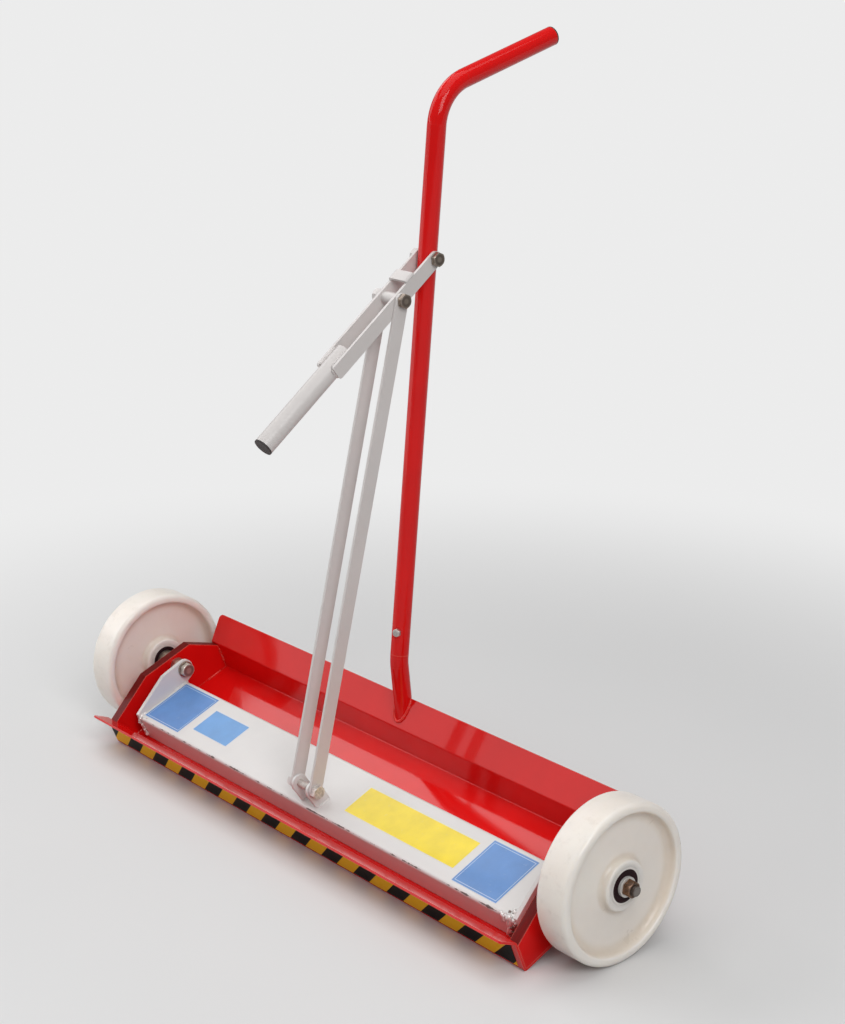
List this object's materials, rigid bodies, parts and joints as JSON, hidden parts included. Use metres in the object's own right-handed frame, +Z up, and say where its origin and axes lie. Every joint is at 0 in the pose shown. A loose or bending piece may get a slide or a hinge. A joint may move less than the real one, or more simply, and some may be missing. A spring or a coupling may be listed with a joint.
{
  "type": "magnetic nail sweeper",
  "caption": "Walk-behind magnetic sweeper: folded red tray on white nylon wheels, a mast with bent handle, and a hand lever whose links lift the magnet bar so that picked-up nails drop.",
  "frame": {"origin": "middle of the bounding box at ground level", "axes": "+X along the axle to the right, +Y to the rear, towards the handle, +Z up"},
  "size_m": [1.0202, 0.4952, 1.0277],
  "materials": {
    "red_paint": "gloss red paint on folded sheet, plate and tube",
    "white_paint": "satin white paint",
    "nylon": "cream-white moulded nylon",
    "zinc": "aged yellow zinc plating",
    "bare_steel": "plain bright steel",
    "dark_steel": "dark oiled steel and bearing shield",
    "ferrite": "dark grey magnet ceramic",
    "black_plastic": "matt black plug"
  },
  "bodies": {
    "frame": {"tray": "red_paint", "end_plate_left": "red_paint", "end_plate_right": "red_paint", "mast_stub": "red_paint", "mast_spigot": "red_paint", "mast_tube": "red_paint", "handle_plug": "black_plastic", "clamp_bolt": "zinc", "clamp_nut": "zinc", "axle_bolts": "zinc", "axle_washers": "zinc", "pivot_bushes": "zinc", "axle_sleeves": "bare_steel", "wheel_spacers": "zinc", "bearing_inner_rings": "zinc", "axle_nuts": "zinc", "lever_pivot_bolt": "zinc", "lever_pivot_nut": "zinc"},
    "magnet_bar": {"magnet_housing": "white_paint", "ear_plate_left": "white_paint", "ear_plate_right": "white_paint", "base_plate": "bare_steel", "yoke_plate": "dark_steel", "magnet_blocks": "ferrite", "lift_lug_left": "white_paint", "lift_lug_right": "white_paint", "lift_bolt": "zinc", "lift_nut": "zinc"},
    "lever": {"lever_bar_left": "white_paint", "lever_bar_right": "white_paint", "lever_bridge": "white_paint", "lever_spacer": "white_paint", "grip_tube": "white_paint", "grip_plug": "black_plastic", "link_bolt": "zinc", "link_nut": "zinc"},
    "links": {"link_left": "white_paint", "link_right": "white_paint"},
    "left_wheel": {"wheel_left": "nylon", "bearing_shells_left": "dark_steel"},
    "right_wheel": {"wheel_right": "nylon", "bearing_shells_right": "dark_steel"}
  },
  "joints": [
    {"name": "magnet_lift", "type": "hinge", "parent": "frame", "child": "magnet_bar", "pos_m": [0, -0.1024, 0.1], "axis": [-1, 0, 0], "range_deg": [0, 25]},
    {"name": "lever_swing", "type": "hinge", "parent": "frame", "child": "lever", "pos_m": [0, 0.02743, 0.74825], "axis": [-1, 0, 0], "range_deg": [0, 33.2]},
    {"name": "link_swing", "type": "hinge", "parent": "magnet_bar", "child": "links", "pos_m": [0, -0.18301, 0.0755], "axis": [-1, 0, 0], "range_deg": [-26.3, 0]},
    {"name": "left_wheel_spin", "type": "hinge", "parent": "frame", "child": "left_wheel", "pos_m": [-0.4685, -0.1024, 0.1], "axis": [1, 0, 0], "continuous": true},
    {"name": "right_wheel_spin", "type": "hinge", "parent": "frame", "child": "right_wheel", "pos_m": [0.4685, -0.1024, 0.1], "axis": [1, 0, 0], "continuous": true}
  ],
  "couplings": [
    {"joint": "lever_swing", "follows": "magnet_lift", "ratio": 1.325},
    {"joint": "link_swing", "follows": "magnet_lift", "ratio": -1.0476}
  ]
}
